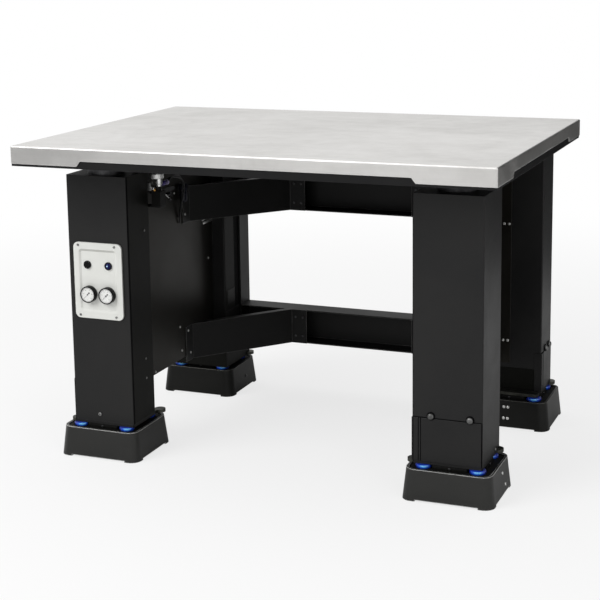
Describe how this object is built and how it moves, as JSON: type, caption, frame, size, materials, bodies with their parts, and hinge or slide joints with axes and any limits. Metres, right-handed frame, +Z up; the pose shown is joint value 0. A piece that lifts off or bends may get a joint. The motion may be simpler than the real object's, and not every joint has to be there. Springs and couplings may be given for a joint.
{
  "type": "vibration isolation workbench",
  "caption": "Heavy laboratory bench with a stainless tabletop carried on isolator legs, damped feet, side plates and braced rear beams.",
  "frame": {"origin": "floor level under the middle of the tabletop", "axes": "+X along the front of the bench, +Y towards its back, +Z up"},
  "size_m": [1.2192, 0.9, 0.825],
  "materials": {
    "stainless_top": "fine brushed stainless",
    "black_core": "matte black",
    "black_powder": "satin black powder coat",
    "foot_black": "fine textured black coat",
    "blue_elastomer": "smooth",
    "dark_steel": "blackened steel",
    "panel_white": "satin white",
    "button_black": "glossy",
    "button_blue": "glossy",
    "gauge_black": "glossy",
    "dial_white": "matte",
    "valve_metal": "machined",
    "tube_black": "smooth"
  },
  "bodies": {
    "root": {"air_tube": "tube_black", "base_plate_back_left": "black_core", "base_plate_back_right": "black_core", "base_plate_front_left": "black_core", "base_plate_front_right": "black_core", "black_button": "button_black", "blue_button": "button_blue", "blue_discs": "blue_elastomer", "control_panel": "panel_white", "cover_back_left": "black_powder", "cover_back_right": "black_powder", "cover_front_left": "black_powder", "cover_front_right": "black_powder", "foot_back_left": "foot_black", "foot_back_right": "foot_black", "foot_front_left": "foot_black", "foot_front_right": "foot_black", "gauge_cases": "gauge_black", "gauge_dials": "dial_white", "isolator_back_left": "dark_steel", "isolator_back_right": "dark_steel", "isolator_front_left": "dark_steel", "isolator_front_right": "dark_steel", "leg_back_left": "black_powder", "leg_back_right": "black_powder", "leg_front_left": "black_powder", "leg_front_right": "black_powder", "lower_brace_left": "black_powder", "lower_brace_right": "black_powder", "lower_rear_beam": "black_powder", "side_plate_left": "black_powder", "side_plate_right": "black_powder", "tabletop_core": "black_core", "tabletop_skin": "stainless_top", "thumb_screws": "dark_steel", "upper_brace_left": "black_powder", "upper_brace_right": "black_powder", "upper_rear_beam": "black_powder", "upright_left": "black_powder", "upright_right": "black_powder", "valve_arm": "dark_steel", "valve_body": "valve_metal", "valve_bracket": "black_powder", "valve_pad": "valve_metal"}
  },
  "joints": []
}
